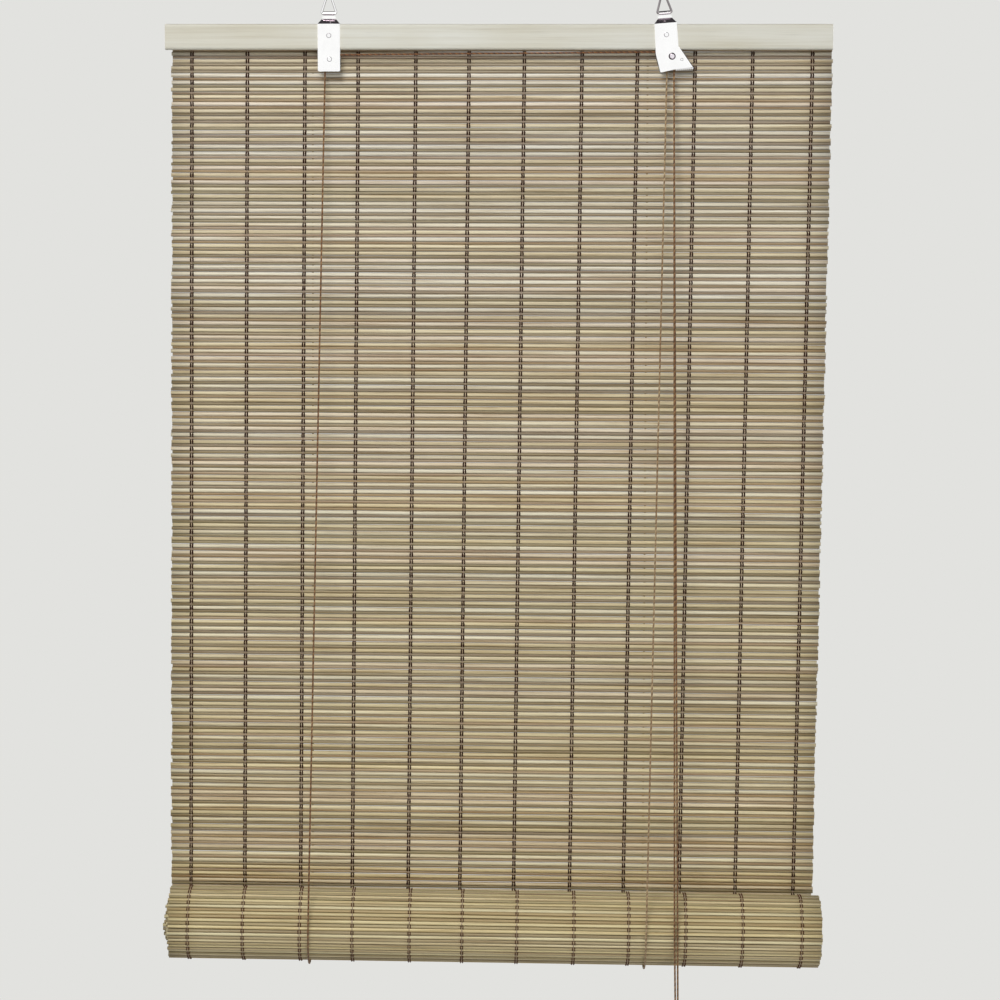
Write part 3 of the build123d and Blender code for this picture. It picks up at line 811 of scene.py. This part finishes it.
def make_pulley_cords():
    """The left cord goes over both pulleys, the right one over the lock's. Both leave between the plates."""
    slope = degrees(atan2(lock_pulley.z - left_pulley.z, lock_pulley.x - left_pulley.x))
    leaving = leaving_angle(lock_pulley)
    over_left = round_route(pulley_place(left_pulley, -cord_side), turn_radius, 180, slope + 90)
    over_lock = round_route(pulley_place(lock_pulley, -cord_side), turn_radius, slope + 90, leaving)
    line = cord_line(over_left)
    line += cord_line([over_left[-1], over_lock[0]])
    line += cord_line(over_lock)
    line += cord_line([over_lock[-1], Vector((pull_exit_x, -cord_side, pull_exit_z))])
    laid = make_laid_cord("cross_cord_laid", without_repeats(line), dark_tints)
    dress_cord(laid, "headrail", "cross_cord")
    over_lock = round_route(pulley_place(lock_pulley, cord_side), turn_radius, 180, leaving)
    line = cord_line(over_lock)
    line += cord_line([over_lock[-1], Vector((pull_exit_x, cord_side, pull_exit_z))])
    laid = make_laid_cord("lock_cord_laid", without_repeats(line), dark_tints, phase=1.0)
    dress_cord(laid, "headrail", "lock_cord")


def without_repeats(line):
    """Leaves out a point that stands on the one before it."""
    least = cord_radius / 10
    pairs = zip(line, line[1:])
    return line[:1] + [after for before, after in pairs if (after - before).length > least]


def make_pull_cords():
    """Each pull strand hangs from the lock over the roll's front and ends in the tassel's knot."""
    knot_top = tassel_top - tassel_hole_depth - end_knot_gap
    front_y = roll_y - sling_radius
    for side, name in enumerate(("left", "right")):
        depth = (2 * side - 1) * cord_side
        start = Vector((pull_exit_x, depth, pull_exit_z))
        bend = Vector((pull_roll_x[side], front_y, roll_z))
        turn = Vector((pull_end_x[side], front_y, tassel_top))
        end = Vector((pull_end_x[side], front_y, knot_top))
        upper_line = cord_line([start, bend])
        upper = make_laid_cord(f"{name}_pull_cord", upper_line, brown_tints, phase=side)
        dress_cord(upper, None, f"{name}_cord_pull_strand")
        shrink_with_lift(upper)
        lower_line = cord_line([bend, turn, end])
        lower = make_laid_cord(f"{name}_tassel_cord", lower_line, brown_tints, phase=side)
        dress_cord(lower, None, f"{name}_cord_tassel_strand")
        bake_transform(lower)


make_pull_cords()
make_pulley_cords()
make_lift_cord("left", left_pulley, -cord_side, left_roll_cord_x, left_anchor_x, brown_tints)
make_lift_cord("right", lock_pulley, cord_side, right_roll_cord_x, right_anchor_x, beige_tints)


# Mat and roll

panel = make_sticks("woven_panel", panel_pairs, on_panel, 11, no_shift, panel_yellowing, panel_contrast)
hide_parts("mat_panel")
shrink_with_lift(panel)

# The roll's sticks are painted paler: painted light.
roll = make_sticks("woven_roll", roll_pairs, on_roll, 23, roll_shift, roll_yellowing, roll_painted_light_contrast)
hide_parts("mat_roll")
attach(roll, "roll")


def warp_places():
    return [first_warp + sum(warp_steps[:column]) for column in range(len(warp_steps) + 1)]


def panel_strand(column_x):
    """Where a strand of a column runs on the panel. Columns are measured from the mat's middle at its top."""
    return lambda offset, along, depth: on_panel(column_x - mat_x(mat_top) + offset, along, depth)


def roll_strand(column_x):
    """The same column on the roll, easing over from where the panel's foot has it."""
    foot_x = column_x - mat_x(mat_top) + mat_x(roll_z) - roll_x
    settled_x = column_x + roll_warp_shift - roll_x

    def place(offset, along, depth):
        share = min(1.0, along / strand_settling)
        return on_roll(foot_x + (settled_x - foot_x) * share + offset, along, depth)

    return place


for number, column_x in enumerate(warp_places(), start=1):
    on_mat = panel_strand(column_x)
    name = f"panel_threads_{number:02d}"
    panel_threads = make_thread_column(name, panel_pairs, number, on_mat, dark_strand_radius, dark_thread)
    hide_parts(f"panel_warp_{number:02d}")
    shrink_with_lift(panel_threads)
    on_turns = roll_strand(column_x)
    name = f"roll_threads_{number:02d}"
    roll_threads = make_thread_column(
        name, roll_thread_pairs, -number, on_turns, roll_strand_radius, worn_thread
    )
    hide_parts(f"roll_warp_{number:02d}")
    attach(roll_threads, "roll")


# Finish of the CAD pieces that stay


def dress(material, *names, soften=None):
    for name in names:
        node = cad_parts[name]
        for slot in node.material_slots:
            slot.material = material
        if soften:
            bevel = node.modifiers.new("softened_edges", "BEVEL")
            bevel.width = soften * mm
            bevel.segments = 2
            bevel.limit_method = "ANGLE"
            bevel.angle_limit = radians(30)


dress(rail_wood, "headrail")
dress(rod_wood, "bottom_rod")
dress(tassel_wood, "tassel")
dress(knotted_cord, "end_knot")
dress(bright_metal, "left_bracket", "lock_bracket", soften=0.18)
dress(ring_metal, "left_hanging_ring")
dress(right_ring_painted_shade, "right_hanging_ring")
dress(small_rivet_metal, "bracket_rivets", "left_pulley_axle", "jaw_pin")
dress(rivet_metal, "lock_pulley_rivet")
dress(jaw_metal, "lock_jaw", soften=0.12)
dress(staple_metal, "mat_staples", "cord_staples", "rod_tacks")
dress(white_nylon, "left_pulley", "lock_pulley")


# Camera, light and surroundings

camera_data = bpy.data.cameras.new("camera")
camera_data.lens = camera_lens
camera_data.sensor_width = sensor_width
camera_data.clip_end = 100.0
camera = bpy.data.objects.new("camera", camera_data)
camera.location = Vector(camera_place) * mm
camera.rotation_euler = (radians(90 - camera_pitch), 0, 0)
bpy.context.scene.collection.objects.link(camera)
bpy.context.scene.camera = camera

background_colour = srgb(226, 226, 223)
sky_colour = (0.95, 0.97, 1.0, 1.0)
sky_strength = 0.25
floor_z = -2.5
floor_reach = 30.0


def add_lamp(name, place, target, size, power, colour):
    lamp_data = bpy.data.lights.new(name, "AREA")
    lamp_data.shape = "DISK"
    lamp_data.size = size
    lamp_data.energy = power
    lamp_data.color = colour
    lamp = bpy.data.objects.new(name, lamp_data)
    lamp.location = place
    lamp.rotation_euler = (Vector(target) - Vector(place)).to_track_quat("-Z", "Y").to_euler()
    bpy.context.scene.collection.objects.link(lamp)


add_lamp("key", (-0.6, -2.3, 1.45), (0, 0, -0.4), 1.1, 49.0, (1.0, 0.985, 0.955))
add_lamp("fill", (1.0, -2.2, -1.5), (0, 0, -0.7), 1.6, 11.0, (0.98, 0.985, 1.0))


def shown_ray(nodes, links):
    """1 for rays that see the surroundings directly, in a gloss or through glass."""
    path = nodes.new("ShaderNodeLightPath")
    total = path.outputs["Is Camera Ray"]
    for output in ("Is Glossy Ray", "Is Transmission Ray"):
        add = nodes.new("ShaderNodeMath")
        add.operation = "MAXIMUM"
        links.new(total, add.inputs[0])
        links.new(path.outputs[output], add.inputs[1])
        total = add.outputs[0]
    return total


def overhead_shade(nodes, links):
    """1 level with the blind and dark straight above it, for what metal mirrors."""
    way = nodes.new("ShaderNodeTexCoord").outputs["Generated"]
    parts = nodes.new("ShaderNodeSeparateXYZ")
    links.new(way, parts.inputs["Vector"])
    ramp = add_ramp(nodes, [(0.35, grey(1.0)), (0.62, grey(0.3)), (0.85, grey(0.1))])
    links.new(parts.outputs["Z"], ramp.inputs["Fac"])
    return ramp.outputs["Color"]


def make_world():
    world = bpy.data.worlds.new("surroundings")
    bpy.context.scene.world = world
    world.use_nodes = True
    nodes, links = world.node_tree.nodes, world.node_tree.links
    nodes.clear()
    light = nodes.new("ShaderNodeBackground")
    light.inputs["Color"].default_value = sky_colour
    light.inputs["Strength"].default_value = sky_strength
    seen = nodes.new("ShaderNodeBackground")
    seen.inputs["Color"].default_value = background_colour
    mirrored = nodes.new("ShaderNodeBackground")
    links.new(overhead_shade(nodes, links), mirrored.inputs["Color"])
    path = nodes.new("ShaderNodeLightPath")
    gloss = nodes.new("ShaderNodeMixShader")
    links.new(path.outputs["Is Glossy Ray"], gloss.inputs[0])
    links.new(seen.outputs[0], gloss.inputs[1])
    links.new(mirrored.outputs[0], gloss.inputs[2])
    mix = nodes.new("ShaderNodeMixShader")
    output = nodes.new("ShaderNodeOutputWorld")
    links.new(shown_ray(nodes, links), mix.inputs[0])
    links.new(light.outputs[0], mix.inputs[1])
    links.new(gloss.outputs[0], mix.inputs[2])
    links.new(mix.outputs[0], output.inputs["Surface"])


def make_floor():
    """Wide pale floor far below the hanging blind."""
    reach = floor_reach
    mesh = bpy.data.meshes.new("floor")
    around = ((-reach, -reach), (reach, -reach), (reach, reach), (-reach, reach))
    corners = [(x, y, floor_z) for x, y in around]
    mesh.from_pydata(corners, [], [(0, 1, 2, 3)])
    material = bpy.data.materials.new("pale_floor")
    material.use_nodes = True
    nodes, links = material.node_tree.nodes, material.node_tree.links
    shader = nodes["Principled BSDF"]
    shader.inputs["Base Color"].default_value = srgb(206, 205, 202)
    shader.inputs["Roughness"].default_value = 0.9
    glow = nodes.new("ShaderNodeEmission")
    glow.inputs["Color"].default_value = background_colour
    mix = nodes.new("ShaderNodeMixShader")
    links.new(shown_ray(nodes, links), mix.inputs[0])
    links.new(shader.outputs[0], mix.inputs[1])
    links.new(glow.outputs[0], mix.inputs[2])
    links.new(mix.outputs[0], nodes["Material Output"].inputs["Surface"])
    mesh.materials.append(material)
    floor = bpy.data.objects.new("floor", mesh)
    bpy.context.scene.collection.objects.link(floor)


make_world()
make_floor()
bpy.context.scene.view_settings.view_transform = "Standard"
